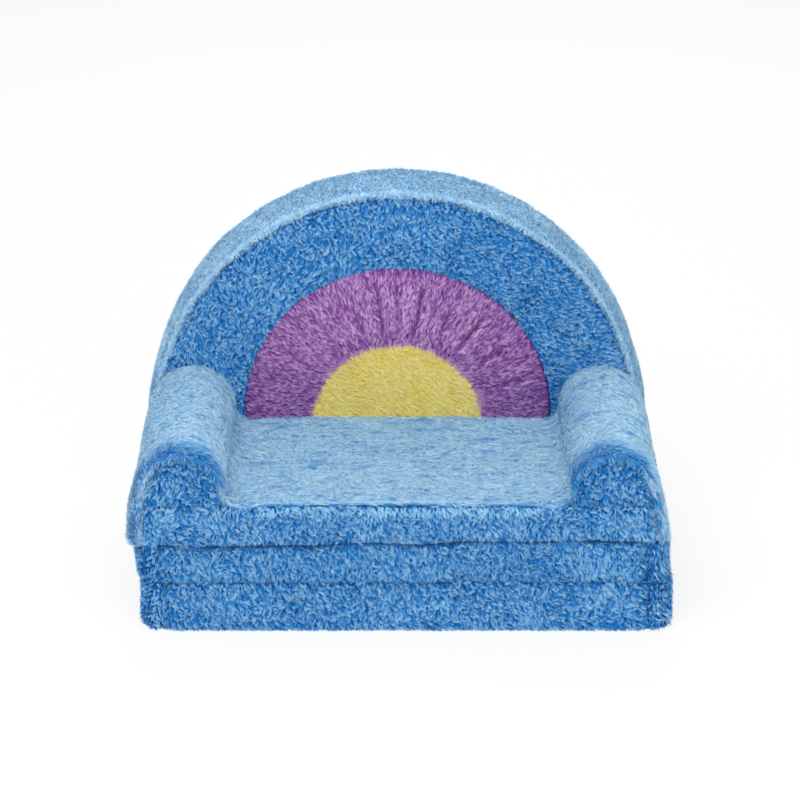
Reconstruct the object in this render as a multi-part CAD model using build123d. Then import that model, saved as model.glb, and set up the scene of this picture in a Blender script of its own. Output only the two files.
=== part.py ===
from build123d import *
import math
import os

# A child's flip open sofa. Three flat cushions lie on each other like a letter Z, joined by sewn
# hinges. The top one is the seat: it carries two bolster arms and a half-disc back.
# Millimetres, +Z up, front towards -Y, +X to the right as seen from the front. The origin is on
# the floor, under the middle of the closed sofa.

# Flat cushions
width = 760.0
depth = 415.0
cushion_height = 65.0
fold_gap = 0.3
corner_radius = 30.0
seam_draw = 6.0
plush_thickness = 8.0
lining_thickness = 3.0

# Seat and arms
seat_crown = 3.0
arm_width = 127.0
arm_rise = 84.0
arm_set_in = 16.0
arm_fillet = 20.0
front_draw = 8.0
front_roll = 14.0
base_draw = 5.0
base_roll = 9.0
lining_margin = 14.0
strip_drop = 6.0
corner_seam_margin = 22.0
cap_margin = 2.0
foam_clearance = 0.2

# Half-disc back
back_side_margin = 13.0
back_thickness = 110.0
back_centre_drop = 12.6
back_lean = 1.5
back_crown = 8.0
rim_draw = 9.0
rim_roll = 14.0
gusset_bulge = 2.0
face_margin = 3.0
purple_share = 0.642
purple_centre_rise = 6.0
yellow_share = 0.372
yellow_centre_drop = 14.0

# Sewn hinges
leaf_width = 40.0
leaf_thickness = 1.5
leaf_end_margin = 40.0

# Zips, one at the rear of each cover
zip_length = 420.0
tape_width = 24.0
tape_thickness = 1.0
zip_recess = 6.0
zip_end_margin = 10.0
coil_width = 5.0
coil_height = 2.0
stop_length = 4.0
stop_height = 3.0
slider_length = 12.0
slider_width = 9.0
slider_clearance = 0.3

# Cuts run past what they cut by this much
overrun = 20.0

# Places worked out from the sizes above
half_width = width / 2
front_y = -depth / 2
rear_y = depth / 2
middle_base = cushion_height + fold_gap
seat_base = 2 * middle_base
seat_top = seat_base + cushion_height
seat_depth = depth - back_thickness
face_y = front_y + seat_depth
arm_radius = arm_width / 2
arm_centre_x = half_width - arm_set_in - arm_radius
arm_centre_z = seat_top + arm_rise - arm_radius
hollow_z = seat_top + arm_fillet
hollow_reach = arm_radius + arm_fillet
hollow_x = arm_centre_x - math.sqrt(hollow_reach**2 - (arm_centre_z - hollow_z) ** 2)
strip_top = seat_top - strip_drop
# The top cushion's sides lean in, from its rolled lower edge to its arms
wall_low = seat_base + base_roll
wall_run = half_width - arm_centre_x
wall_rise = arm_centre_z - wall_low
wall_turn = math.asin(arm_radius / math.hypot(wall_run, wall_rise))
wall_lean = math.atan2(wall_run, wall_rise) - wall_turn
back_radius = half_width - back_side_margin
face_radius = back_radius - rim_draw - face_margin
purple_radius = purple_share * face_radius
yellow_radius = yellow_share * face_radius
zip_wall_y = rear_y - zip_recess


def slab_between(low, high):
    """Everything from one height to another, as wide and deep as any cut needs."""
    reach = width + depth
    block = Box(reach, reach, high - low, align=(Align.CENTER, Align.CENTER, Align.MIN))
    return Pos(0, 0, low) * block


def block_from(low, high):
    """Box between two corners."""
    size = [b - a for a, b in zip(low, high)]
    return Pos(*low) * Box(*size, align=(Align.MIN, Align.MIN, Align.MIN))


def roll_inset(share):
    """Inset of a rolled edge, as a share of its draw, at a share of the roll from its end."""
    return 1 - math.sqrt(1 - (1 - share) ** 2)


# Sections of a rolled edge, as shares of its roll
roll_shares = (0.0, 0.12, 0.4, 1.0)
# Sections of a flat cushion's boxing: share of the height, and of the draw at the seam
boxing_shares = ((0.0, 1.0), (0.12, 0.35), (0.5, 0.0), (0.88, 0.35), (1.0, 1.0))


def crowned_slab(base):
    """Outer form of a flat cushion: its sides bulge and are drawn in at both seams."""
    sections = []
    for height_share, draw_share in boxing_shares:
        inset = draw_share * seam_draw
        outline = RectangleRounded(width - 2 * inset, depth - 2 * inset, corner_radius - inset)
        level = Plane.XY.offset(base + height_share * cushion_height)
        sections.append((level * outline).face())
    return loft(sections)


def foam_block(base, top):
    """Foam of a flat cushion, inside its cover all round."""
    foam_width = width - 2 * plush_thickness
    foam_depth = depth - 2 * plush_thickness
    outline = RectangleRounded(foam_width, foam_depth, corner_radius - plush_thickness)
    return extrude(Plane.XY.offset(base) * outline, top - base)


def front_panel_zone(low, high):
    """Where the front boxing panel lies, between the two upright corner seams."""
    reach = half_width - corner_radius
    return block_from((-reach, front_y - overrun, low), (reach, front_y + plush_thickness, high))


def flat_cushion(base, base_thickness, top_thickness):
    """Foam, base, top, front and side pieces of one flat cushion."""
    outer = crowned_slab(base)
    foam_low = base + base_thickness
    foam_high = base + cushion_height - top_thickness
    foam = foam_block(foam_low, foam_high)
    wall = (outer & slab_between(foam_low, foam_high)) - foam
    front_zone = front_panel_zone(foam_low, foam_high)
    return {
        "foam": foam,
        "base": outer & slab_between(base - overrun, foam_low),
        "top": outer & slab_between(foam_high, base + cushion_height + overrun),
        "front": wall & front_zone,
        "sides": wall - front_zone,
    }


def wall_x(z, inset):
    """How far out the top cushion's leaning side is at one height."""
    return half_width - (z - wall_low) * math.tan(wall_lean) - inset / math.cos(wall_lean)


def side_edges(inset, base_inset, wall_end):
    """Right half of the top cushion's base, its rolled lower edge and its leaning side."""
    side = wall_x(wall_low, inset)
    low = seat_base + base_inset
    roll_height = base_roll - base_inset
    roll_draw = base_draw * roll_height / base_roll
    roll_radius = (roll_draw**2 + roll_height**2) / (2 * roll_draw)
    roll_turn = math.degrees(math.asin(roll_height / roll_radius))
    roll_centre = (side - roll_radius, wall_low)
    return [
        Line((0, low), (side - roll_draw, low)),
        CenterArc(roll_centre, roll_radius, -roll_turn, roll_turn),
        Line((side, wall_low), wall_end),
    ]


def whole_section(half, top):
    """Face bounded by a half outline, its mirror image and the edge that joins them on top."""
    return make_face(half + [top] + [edge.mirror(Plane.YZ) for edge in half])


def seat_profile(inset, base_inset):
    """Section across seat and arms: flat base, leaning sides, round arms flowing into the seat."""
    radius = arm_radius - inset
    start = math.degrees(wall_lean)
    rise = radius * math.sin(wall_lean)
    wall_end = (arm_centre_x + radius * math.cos(wall_lean), arm_centre_z + rise)
    hollow_radius = arm_fillet + inset
    turn = math.degrees(math.atan2(hollow_z - arm_centre_z, hollow_x - arm_centre_x)) % 360
    arm = CenterArc((arm_centre_x, arm_centre_z), radius, start, turn - start)
    hollow = CenterArc((hollow_x, hollow_z), hollow_radius, turn - 180, 90 - turn)
    seat_z = hollow_z - hollow_radius
    crown = ThreePointArc((hollow_x, seat_z), (0, seat_z + seat_crown), (-hollow_x, seat_z))
    return whole_section(side_edges(inset, base_inset, wall_end) + [arm, hollow], crown)


def base_profile(inset, base_inset):
    """Section across the flat part of the top cushion, below the back."""
    side = wall_x(seat_top, inset)
    top = Line((side, seat_top), (-side, seat_top))
    return whole_section(side_edges(inset, base_inset, (side, seat_top)), top)


def across(y):
    """Plane across the sofa at one depth, looking to the front, local Y up."""
    return Plane.XZ.offset(-y)


def rolled_run(profile, end_y, start_y):
    """Profile run along the depth, rolled in at end_y."""
    towards = 1 if start_y > end_y else -1
    sections = []
    for share in roll_shares:
        y = end_y + towards * share * front_roll
        inset = roll_inset(share) * front_draw
        sections.append((across(y) * profile(inset, roll_inset(share) * base_draw)).face())
    roll = loft(sections)
    run_y = end_y + towards * front_roll
    run = extrude(across(run_y) * profile(0, 0), amount=abs(start_y - run_y), dir=(0, towards, 0))
    return roll + run


def leaning_plane(back_offset):
    """Plane of the back's face, pushed back from it; local Y runs up the face."""
    lean = math.radians(back_lean)
    normal = (0, -math.cos(lean), math.sin(lean))
    face = Plane(origin=(0, face_y, seat_top), x_dir=(1, 0, 0), z_dir=normal)
    return face.offset(-back_offset)


def upright_plane(back_offset):
    """Plane parallel to the back's rear panel, pushed forward from it."""
    return Plane(origin=(0, rear_y - back_offset, seat_top), x_dir=(1, 0, 0), z_dir=(0, -1, 0))


def half_disc(inset):
    """Half-disc section of the back, reaching below the seat's top until it is cut."""
    radius = back_radius - inset
    low = -plush_thickness - overrun
    side = math.sqrt(radius**2 - (low + back_centre_drop) ** 2)
    arch = ThreePointArc((side, low), (0, radius - back_centre_drop), (-side, low))
    return make_face([arch, Line((-side, low), (side, low))])


def crown_cap(cap_plane, radius):
    """Shallow dome on the back's face."""
    ball_radius = (face_radius**2 + back_crown**2) / (2 * back_crown)
    ball = Pos(0, -back_centre_drop, back_crown - ball_radius) * Rot(0, 90, 0) * Sphere(ball_radius)
    post = Pos(0, -back_centre_drop, 0) * Cylinder(
        radius, 2 * back_crown, align=(Align.CENTER, Align.CENTER, Align.MIN)
    )
    return cap_plane * (ball & post)


def back_form():
    """Outer form of the back: rolled rims, a leaning crowned face and an upright rear."""
    sections = []
    for share in roll_shares:
        plane = leaning_plane(share * rim_roll)
        sections.append((plane * half_disc(roll_inset(share) * rim_draw)).face())
    sections.append((upright_plane(back_thickness / 2) * half_disc(-gusset_bulge)).face())
    for share in reversed(roll_shares):
        plane = upright_plane(share * rim_roll)
        sections.append((plane * half_disc(roll_inset(share) * rim_draw)).face())
    form = loft(sections) + crown_cap(leaning_plane(0), face_radius)
    return form & slab_between(seat_top, seat_top + 2 * back_radius)


def back_foam_form():
    """Foam of the back, standing on the seat foam."""
    front = (leaning_plane(plush_thickness) * half_disc(plush_thickness)).face()
    rear = (upright_plane(plush_thickness) * half_disc(plush_thickness)).face()
    cap = crown_cap(leaning_plane(plush_thickness), face_radius)
    form = loft([front, rear], ruled=True) + cap
    return form & slab_between(seat_top - plush_thickness, seat_top + 2 * back_radius)


def face_post(centre_y, radius):
    """Round post along the back's face normal, that cuts a colour band."""
    post = Cylinder(radius, 4 * rim_roll)
    return leaning_plane(0) * Pos(0, centre_y, 0) * post


def arm_cap_zone(side):
    """Where the half-round cap lies, on the front of one arm."""
    radius = arm_radius - front_draw - cap_margin
    x = side * arm_centre_x
    arch = CenterArc((x, arm_centre_z), radius, 0, 180)
    left = Line((x - radius, arm_centre_z), (x - radius, strip_top))
    low = Line((x - radius, strip_top), (x + radius, strip_top))
    right = Line((x + radius, strip_top), (x + radius, arm_centre_z))
    outline = across(front_y + plush_thickness) * make_face([arch, left, low, right])
    return extrude(outline, amount=plush_thickness + overrun, dir=(0, -1, 0))


def seat_unit():
    """Every piece of the top cushion, its arms and its back."""
    outer = rolled_run(seat_profile, front_y, face_y + rim_roll)
    outer += rolled_run(base_profile, rear_y, front_y + front_roll)
    back_outer = back_form()
    back_foam = back_foam_form()

    foam_plane = across(front_y + plush_thickness)
    foam_section = foam_plane * seat_profile(plush_thickness, lining_thickness)
    inner = extrude(foam_section, amount=seat_depth, dir=(0, 1, 0))
    # The arms' foam stops just short of the back
    inner -= Pos(0, -foam_clearance, 0) * back_outer + back_foam
    arm_low = seat_top - plush_thickness
    arm_foams = {}
    for name, side in (("left", -1), ("right", 1)):
        near, far = sorted((side * hollow_x, side * width))
        zone = block_from((near, front_y, arm_low), (far, rear_y, seat_top + arm_rise))
        arm_foams[name] = inner & zone
    middle_zone = block_from((-hollow_x, front_y, seat_base), (hollow_x, face_y, seat_top))
    slab_section = foam_plane * base_profile(plush_thickness, lining_thickness)
    slab = extrude(slab_section, amount=depth, dir=(0, 1, 0))
    slab &= foam_block(seat_base + lining_thickness, arm_low)
    seat_foam = slab + (inner & middle_zone)
    seat_foam -= back_foam

    filling = seat_foam + back_foam + arm_foams["left"] + arm_foams["right"]
    back_shell = back_outer - filling
    shell = outer - back_outer - filling

    lining_width = width - 2 * lining_margin
    lining_depth = depth - 2 * lining_margin
    footprint = RectangleRounded(lining_width, lining_depth, corner_radius - lining_margin)
    lining = extrude(Plane.XY.offset(seat_base) * footprint, lining_thickness)
    lining_zone = lining + extrude(Plane.XY.offset(seat_base - overrun) * footprint, overrun)
    high = seat_top + 2 * back_radius
    rear_zone = block_from((-width, rear_y - plush_thickness, seat_base), (width, rear_y, high))
    seam_x = half_width - corner_seam_margin
    strip_zone = block_from(
        (-seam_x, front_y - overrun, seat_base), (seam_x, front_y + plush_thickness, strip_top)
    )
    pieces = {"seat_foam": seat_foam, "back_foam": back_foam}
    pieces["arm_foam_left"] = arm_foams["left"]
    pieces["arm_foam_right"] = arm_foams["right"]
    pieces["seat_base_lining"] = lining
    shell -= lining_zone
    pieces["back_rear_panel"] = (shell & rear_zone) + (back_shell & rear_zone)
    shell -= rear_zone
    back_shell -= rear_zone
    pieces["seat_front_panel"] = shell & strip_zone
    shell -= strip_zone
    for name, side in (("left", -1), ("right", 1)):
        zone = arm_cap_zone(side)
        pieces[f"arm_cap_{name}"] = shell & zone
        shell -= zone
    pieces["seat_wrap"] = shell

    face_zone = face_post(-back_centre_drop, face_radius)
    face = back_shell & face_zone
    purple_post = face_post(purple_centre_rise, purple_radius)
    yellow_post = face_post(-yellow_centre_drop, yellow_radius)
    pieces["back_gusset"] = back_shell - face_zone
    pieces["back_face_blue"] = face - purple_post
    pieces["back_face_purple"] = (face & purple_post) - yellow_post
    pieces["back_face_yellow"] = face & yellow_post
    return pieces


def hinge_leaves(edge_y, axis_z):
    """Upper and lower leaf of a sewn hinge, and the pocket that lets them into their faces."""
    reach = half_width - leaf_end_margin
    inward = leaf_width if edge_y < 0 else -leaf_width
    near, far = sorted((edge_y, edge_y + inward))
    upper_low = axis_z + fold_gap / 2
    upper_high = upper_low + leaf_thickness
    lower_high = axis_z - fold_gap / 2
    lower_low = lower_high - leaf_thickness
    upper = block_from((-reach, near, upper_low), (reach, far, upper_high))
    lower = block_from((-reach, near, lower_low), (reach, far, lower_high))
    open_near, open_far = sorted((edge_y - math.copysign(overrun, inward), edge_y + inward))
    pocket = block_from((-reach, open_near, lower_low), (reach, open_far, upper_high))
    return upper, lower, pocket


def zip_pocket(mid_z):
    """Shallow slot in the rear of a cover, that holds the zip."""
    reach = zip_length / 2 + zip_end_margin
    half = tape_width / 2
    return block_from((-reach, zip_wall_y, mid_z - half), (reach, rear_y + overrun, mid_z + half))


def zip_chain(mid_z):
    """Zip tape on the floor of its slot, with the coil along it and a stop at each end."""
    reach = zip_length / 2 + zip_end_margin
    half = tape_width / 2
    tape_y = zip_wall_y + tape_thickness
    chain = block_from((-reach, zip_wall_y, mid_z - half), (reach, tape_y, mid_z + half))
    ridge = Pos(tape_y, mid_z) * Ellipse(coil_height, coil_width / 2)
    coil = extrude(Plane.YZ.offset(-zip_length / 2) * ridge, amount=zip_length)
    chain += coil & block_from((-reach, tape_y, mid_z - half), (reach, rear_y, mid_z + half))
    seated = (Align.CENTER, Align.MIN, Align.CENTER)
    for side in (-1, 1):
        stop_x = side * (zip_length + stop_length) / 2
        chain += Pos(stop_x, tape_y, mid_z) * Box(stop_length, stop_height, coil_width, align=seated)
    return chain


def zip_slider(mid_z):
    """Slider without a pull tab: a flat housing that straddles the coil."""
    floor_y = zip_wall_y + tape_thickness + slider_clearance
    slider_height = zip_recess - tape_thickness - 2 * slider_clearance
    centre_x = (zip_length - slider_length) / 2 - slider_clearance
    seated = (Align.CENTER, Align.MIN, Align.CENTER)
    housing = Box(slider_length, slider_height, slider_width, align=seated)
    housing = fillet(housing.edges().filter_by(Axis.Y), slider_width / 4)
    bay_height = coil_height + slider_clearance
    bay_width = coil_width + 2 * slider_clearance
    bay = Box(slider_length + overrun, 2 * bay_height, bay_width)
    return Pos(centre_x, floor_y, mid_z) * (housing - bay)


bottom = flat_cushion(0, lining_thickness, plush_thickness)
middle = flat_cushion(middle_base, plush_thickness, lining_thickness)
pieces = seat_unit()
pieces["bottom_foam"] = bottom["foam"]
pieces["bottom_base_lining"] = bottom["base"]
pieces["bottom_top_panel"] = bottom["top"]
pieces["bottom_front_panel"] = bottom["front"]
pieces["bottom_side_boxing"] = bottom["sides"]
pieces["middle_foam"] = middle["foam"]
pieces["middle_bottom_panel"] = middle["base"]
pieces["middle_top_lining"] = middle["top"]
pieces["middle_front_panel"] = middle["front"]
pieces["middle_side_boxing"] = middle["sides"]

upper, lower, pocket = hinge_leaves(front_y, seat_base - fold_gap / 2)
pieces["front_hinge_upper_leaf"] = upper
pieces["front_hinge_lower_leaf"] = lower
for host in ("seat_base_lining", "seat_front_panel", "seat_wrap", "middle_top_lining"):
    pieces[host] -= pocket
upper, lower, pocket = hinge_leaves(rear_y, middle_base - fold_gap / 2)
pieces["rear_hinge_upper_leaf"] = upper
pieces["rear_hinge_lower_leaf"] = lower
for host in ("middle_bottom_panel", "bottom_top_panel"):
    pieces[host] -= pocket

for cover, host, base in (
    ("bottom", "bottom_side_boxing", 0),
    ("middle", "middle_side_boxing", middle_base),
    ("seat", "back_rear_panel", seat_base),
):
    mid_z = base + cushion_height / 2
    pieces[host] -= zip_pocket(mid_z)
    pieces[f"{cover}_zip_tape"] = zip_chain(mid_z)
    pieces[f"{cover}_zip_slider"] = zip_slider(mid_z)

os.makedirs("parts", exist_ok=True)
for name, piece in pieces.items():
    export_step(piece, f"parts/{name}.step")
    print(name, len(piece.solids()), round(piece.volume))
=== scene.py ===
"""A child's flip open sofa in long plush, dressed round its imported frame.

Forms are worked out in millimetres and put into Blender in metres. Each cover panel is a grid of
points, made into a thin backing skin, and its pile is grown from that grid as tapered blades.
"""

import math

import bpy
import numpy as np
from mathutils import Euler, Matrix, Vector


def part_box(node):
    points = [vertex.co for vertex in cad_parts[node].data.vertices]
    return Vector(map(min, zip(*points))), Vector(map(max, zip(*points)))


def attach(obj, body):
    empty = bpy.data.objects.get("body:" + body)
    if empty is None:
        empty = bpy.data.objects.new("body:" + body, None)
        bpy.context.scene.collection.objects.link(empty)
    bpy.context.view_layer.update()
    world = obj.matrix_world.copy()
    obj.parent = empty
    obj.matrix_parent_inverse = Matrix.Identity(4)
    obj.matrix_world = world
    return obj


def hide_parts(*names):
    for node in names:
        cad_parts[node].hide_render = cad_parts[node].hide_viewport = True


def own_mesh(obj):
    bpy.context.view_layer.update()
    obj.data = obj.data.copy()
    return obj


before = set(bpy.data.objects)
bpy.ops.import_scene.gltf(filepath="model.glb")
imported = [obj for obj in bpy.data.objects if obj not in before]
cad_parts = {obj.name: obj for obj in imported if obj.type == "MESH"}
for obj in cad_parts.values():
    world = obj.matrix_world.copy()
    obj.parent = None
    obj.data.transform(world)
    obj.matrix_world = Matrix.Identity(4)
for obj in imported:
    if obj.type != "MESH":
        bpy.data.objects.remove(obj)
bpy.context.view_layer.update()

MM = 0.001
SEED = 7

# Camera, in millimetres and degrees
CAMERA_PLACE = (4.4, -3834.0, 1914.0)
CAMERA_PITCH = 23.3
CAMERA_LENS = 129.6

# Forms that the frame's boxes don't give
SEAT_DEPTH = 305.0
ARM_SET_IN = 16.0
ARM_FILLET = 20.0
CORNER_RADIUS = 30.0
BACK_CENTRE_DROP = 12.6
BACK_LEAN = math.radians(1.5)
BACK_CROWN = 8.0
GUSSET_BULGE = 2.0
BASE_DRAW = 5.0
BASE_ROLL = 9.0
SEAT_CROWN = 3.0
YELLOW_DROP = 14.0
# The seat runs up into the arms this far from the middle
HOLLOW_EDGE = 205.0
# The back's face and its rear panel end this far inside the arch
EDGE_INSET = 13.5

# The backing lies this far inside the frame's outer form, and the pile fills the rest
PILE_DEPTH = 5.0
BACKING = 1.2
GRID_STEP = 5.0

# Seams: how deep they are drawn in, and over what length the panels round into them
SEAM_DRAW = 8.0
SEAM_RUN = 13.0
HEM_DRAW = 3.0
HEM_RUN = 7.0
HINGE_DRAW = 1.5

# Zip slots in the rear
ZIP_HALF_LENGTH = 221.0
ZIP_HALF_HEIGHT = 11.0
ZIP_SINK = 2.8
ZIP_EASE = 8.0
ZIP_ROOM = 14.0

# How the stack has settled: sideways slides and lifts of its front, at heights
SLIDE_HEIGHTS = (0.0, 60.0, 70.0, 125.0, 138.0, 200.0)
SLIDES = (11.0, 10.0, 6.0, 4.0, -2.0, 0.0)
LIFT_HEIGHTS = (0.0, 65.0, 130.0, 190.0)
LIFTS = (0.0, 6.0, 1.0, 0.0)
TILTS = (0.0, 0.0, 5.0, 0.0)
WAVES = (0.0, 1.5, 3.0, 0.0)
WAVE_SIZE = 75.0
ARM_DIP = 7.0
DIP_RISE = 60.0
DIP_RUN = 120.0
FOOT_FLARE = 11.5
FOOT_HEIGHT = 44.0
FOOT_RUN = 60.0
# The sides bulge over the outer part of the width
BULGE_START, BULGE_RUN = 0.7, 0.3
BULGE_HEIGHTS = (0.0, 118.0, 136.0, 190.0, 250.0, 300.0)
LEFT_BULGES = (-4.0, -4.5, -3.0, 5.0, 3.0, 0.0)
RIGHT_BULGES = (1.0, 2.0, 4.0, 4.5, 1.5, 0.0)

# Pull folds of the colour bands: angle in degrees, radii they run between, depth
FOLDS = (
    (98.0, 140.0, 228.0, 4.6), (90.0, 160.0, 230.0, 3.6), (80.0, 138.0, 230.0, 4.8),
    (109.0, 135.0, 200.0, 3.4), (53.0, 140.0, 222.0, 4.4), (22.0, 165.0, 230.0, 3.6),
    (126.0, 150.0, 226.0, 2.6), (66.0, 150.0, 212.0, 3.0), (38.0, 150.0, 212.0, 2.6),
    (145.0, 150.0, 226.0, 2.4), (74.0, 234.0, 310.0, 3.2), (88.0, 236.0, 290.0, 2.2),
    (47.0, 236.0, 310.0, 3.0), (112.0, 236.0, 300.0, 2.2), (140.0, 240.0, 300.0, 2.0),
)
FOLD_WIDTH = 6.0
FOLD_SCALE = 1.4


def node_box(name):
    """Lowest and highest corner of a node, in millimetres."""
    low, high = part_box(name)
    return np.array(low) / MM, np.array(high) / MM


wrap_low, wrap_high = node_box("seat_wrap")
half_width = wrap_high[0]
front_y = node_box("seat_front_panel")[0][1]
rear_y = node_box("back_rear_panel")[1][1]
half_depth = (rear_y - front_y) / 2
seat_base = wrap_low[2]
gusset_low, gusset_high = node_box("back_gusset")
seat_top = gusset_low[2]
arm_top = wrap_high[2]
cap_low, cap_high = node_box("arm_cap_right")
arm_x = (cap_low[0] + cap_high[0]) / 2
arm_radius = half_width - ARM_SET_IN - arm_x
arm_z = arm_top - arm_radius
strip_top = cap_low[2]
wall_low = seat_base + BASE_ROLL
wall_run = half_width - arm_x
wall_rise = arm_z - wall_low
wall_turn = math.asin(arm_radius / math.hypot(wall_run, wall_rise))
wall_lean = math.atan2(wall_run, wall_rise) - wall_turn
back_z = seat_top - BACK_CENTRE_DROP
back_radius = gusset_high[2] - GUSSET_BULGE - back_z
face_y = front_y + SEAT_DEPTH
purple_high = node_box("back_face_purple")[1]
purple_radius = purple_high[0]
purple_z = purple_high[2] - purple_radius
yellow_high = node_box("back_face_yellow")[1]
yellow_z = seat_top - YELLOW_DROP
yellow_radius = yellow_high[2] - yellow_z
middle_base = node_box("middle_bottom_panel")[0][2]
middle_top = node_box("middle_top_lining")[1][2]
bottom_top = node_box("bottom_top_panel")[1][2]

# The face's edge, where it meets the gusset
face_edge = back_radius - EDGE_INSET
zip_heights = [node_box(f"{name}_zip_tape") for name in ("bottom", "middle", "seat")]
zip_heights = [sum(corner[2] for corner in corners) / 2 for corners in zip_heights]


# Numbers that vary over space

TABLE_SIZE = 64
random_table = np.random.default_rng(SEED).uniform(-1, 1, (TABLE_SIZE,) * 3 + (8,))


def noise(points, scale, channel=0):
    """Smooth noise from -1 to 1 at points in millimetres; scale is the size of its bumps."""
    place = points / scale + channel * 17.3
    cell = np.floor(place).astype(int)
    part = place - cell
    part = part * part * (3 - 2 * part)
    total = np.zeros(points.shape[:-1])
    for steps in np.ndindex(2, 2, 2):
        weight = np.ones(points.shape[:-1])
        for axis, step in enumerate(steps):
            weight = weight * (part[..., axis] if step else 1 - part[..., axis])
        corner = (cell + steps) % TABLE_SIZE
        total += weight * random_table[corner[..., 0], corner[..., 1], corner[..., 2], 0]
    return total


def noise_vectors(points, scale, channel):
    """Three independent noises as a vector."""
    return np.stack([noise(points, scale, channel + axis) for axis in range(3)], axis=-1)


def tufts(points, size, channel=0):
    """Vector to the nearest of many scattered tuft centres, and four random numbers of it."""
    place = points / size + channel * 31.7
    cell = np.floor(place).astype(int)
    nearest = np.full(len(points), 1e9)
    vector = np.zeros(points.shape)
    traits = np.zeros((len(points), 4))
    for steps in np.ndindex(3, 3, 3):
        near = cell + np.array(steps) - 1
        index = near % TABLE_SIZE
        values = random_table[index[:, 0], index[:, 1], index[:, 2]]
        away = near + 0.5 + 0.5 * values[:, 1:4] - place
        distance = (away * away).sum(1)
        closer = distance < nearest
        nearest[closer] = distance[closer]
        vector[closer] = away[closer]
        traits[closer] = values[closer, 4:]
    return vector * size, traits


def smooth(share):
    """Share from 0 to 1, eased at both ends."""
    share = np.clip(share, 0, 1)
    return share * share * (3 - 2 * share)


def unit(vectors):
    """Vectors scaled to length 1."""
    size = np.linalg.norm(vectors, axis=-1, keepdims=True)
    return vectors / np.maximum(size, 1e-9)


def roll(distance, draw, run):
    """Inset of a rolled edge at a distance from its end: a quarter ellipse."""
    share = 1 - np.clip(np.asarray(distance, float) / run, 0, 1)
    return draw * (1 - np.sqrt(1 - share * share))


def settle(points):
    """Points moved as the stack has settled: slid sideways, its front edges lifted and waved."""
    moved = points.copy()
    x, y, z = points[..., 0], points[..., 1], points[..., 2]
    ahead = smooth((rear_y - y) / (2 * half_depth))
    moved[..., 0] += np.interp(z, SLIDE_HEIGHTS, SLIDES)
    outer = smooth((np.abs(x) / half_width - BULGE_START) / BULGE_RUN)
    left, right = (np.interp(z, BULGE_HEIGHTS, bulges) for bulges in (LEFT_BULGES, RIGHT_BULGES))
    moved[..., 0] += outer * np.where(x < 0, -left, right)
    lift = np.interp(z, LIFT_HEIGHTS, LIFTS) + np.interp(z, LIFT_HEIGHTS, TILTS) * x / half_width
    flat = np.stack([x, y, np.zeros_like(z)], axis=-1)
    lift = lift + np.interp(z, LIFT_HEIGHTS, WAVES) * noise(flat, WAVE_SIZE, 2)
    near = smooth(1 - (y - front_y) / DIP_RUN)
    dip = ARM_DIP * smooth((z - seat_top) / DIP_RISE) * near
    moved[..., 2] += lift * ahead - dip
    foot = smooth(1 - z / FOOT_HEIGHT) * smooth((front_y + FOOT_RUN - y) / FOOT_RUN)
    moved[..., 1] -= FOOT_FLARE * foot
    return moved


# Lines of points

def arc(centre, radius, start, end, count):
    """Points on an arc, from one angle in degrees to another."""
    angle = np.radians(np.linspace(start, end, count))
    return np.c_[centre[0] + radius * np.cos(angle), centre[1] + radius * np.sin(angle)]


def spread(line, count, start=0.0, end=1.0):
    """Points spaced evenly along a line, between two shares of its length."""
    line = np.asarray(line, float)
    steps = np.linalg.norm(np.diff(line, axis=0), axis=1)
    along = np.r_[0, np.cumsum(steps)]
    wanted = np.linspace(start, end, count) * along[-1]
    return np.column_stack([np.interp(wanted, along, column) for column in line.T])


def plan_outline(inset):
    """Rounded rectangle seen from above, from the middle of the rear, anticlockwise."""
    radius = max(CORNER_RADIUS - inset, 4.0)
    x = half_width - inset - radius
    y = half_depth - inset - radius
    corners = (((-x, y), 90, 180), ((-x, -y), 180, 270), ((x, -y), 270, 360), ((x, y), 0, 90))
    line = [np.array([[0, half_depth - inset]])]
    for centre, start, end in corners:
        line.append(arc(centre, radius, start, end, 13))
    line.append(line[0])
    return np.vstack(line)


def wall_x(z, inset):
    """How far out the top cushion's leaning side is at a height."""
    return half_width - (z - wall_low) * math.tan(wall_lean) - inset / math.cos(wall_lean)


def base_edge(inset, count=6):
    """Rolled lower edge of the top cushion's side."""
    heights = np.linspace(0, BASE_ROLL, count)
    x = wall_x(wall_low, inset) - roll(heights, BASE_DRAW, BASE_ROLL)
    return np.c_[x, seat_base + heights]


# Points along half of the seat's section: lower edge, side, arm, hollow, seat
SECTION_COUNTS = (6, 14, 56, 12, 46)


def seat_section(inset):
    """Half section across the seat: up the outer side, over the arm, down into the seat."""
    edge_count, side_count, arm_count, hollow_count, seat_count = SECTION_COUNTS
    hollow_z = seat_top + ARM_FILLET
    reach = arm_radius + ARM_FILLET
    hollow_x = arm_x - math.sqrt(reach**2 - (arm_z - hollow_z) ** 2)
    turn = math.degrees(math.atan2(hollow_z - arm_z, hollow_x - arm_x)) % 360
    edge = base_edge(inset, edge_count)
    lean = math.degrees(wall_lean)
    arm = arc((arm_x, arm_z), arm_radius - inset, lean, turn, arm_count)
    wall = np.linspace(edge[-1], arm[0], side_count + 2)[1:-1]
    hollow = arc((hollow_x, hollow_z), ARM_FILLET + inset, turn - 180, -90, hollow_count + 1)[1:]
    x = np.linspace(hollow_x, 0, seat_count + 1)[1:]
    crown = SEAT_CROWN * (1 - (x / hollow_x) ** 2)
    seat = np.c_[x, seat_top - inset + crown]
    return np.vstack([edge, wall, arm, hollow, seat])


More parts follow.
